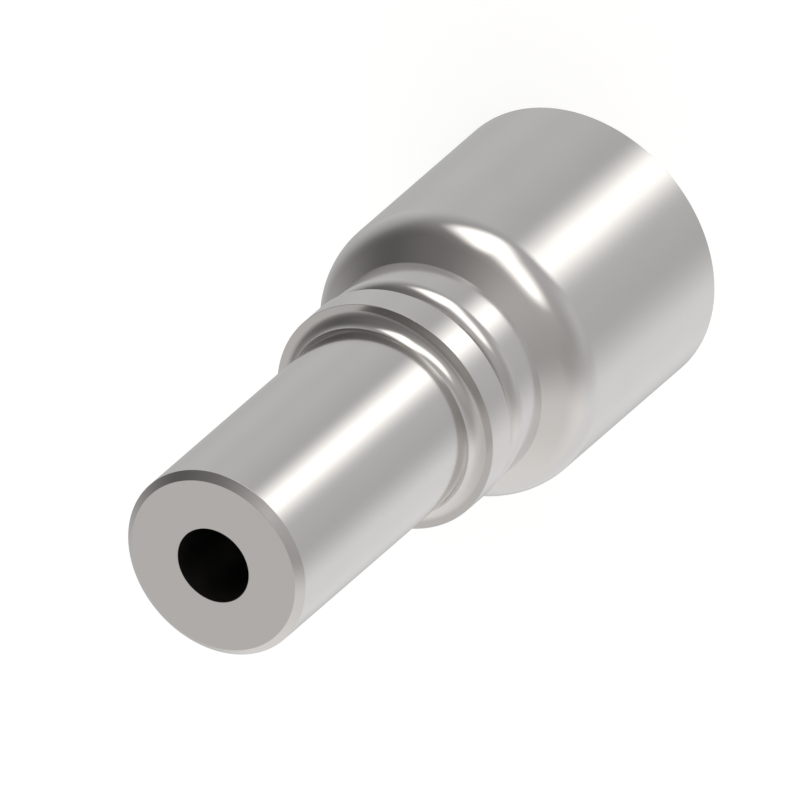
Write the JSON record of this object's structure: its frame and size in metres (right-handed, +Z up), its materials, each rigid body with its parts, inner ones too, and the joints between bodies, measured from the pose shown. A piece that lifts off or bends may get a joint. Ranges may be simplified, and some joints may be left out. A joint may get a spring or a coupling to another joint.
{
  "type": "straight hose fitting",
  "caption": "Straight crimp hose fitting: a plain tube stub with a collar, a barbed hose tail, and a staked crimp shell with a necked, rounded shoulder.",
  "frame": {"origin": "centre of the shell's open mouth, in the plane that the fitting stands on", "axes": "+Z up the fitting's axis, from the hose side to the end of the tube stub; round about Z, so X and Y are free"},
  "size_m": [0.0184, 0.0184, 0.0428],
  "materials": {
    "nipple_steel": "fine turned stainless steel, semi-bright",
    "shell_steel": "fine turned stainless steel, semi-bright"
  },
  "bodies": {
    "root": {"hose_nipple": "nipple_steel", "crimp_shell": "shell_steel"}
  },
  "joints": []
}
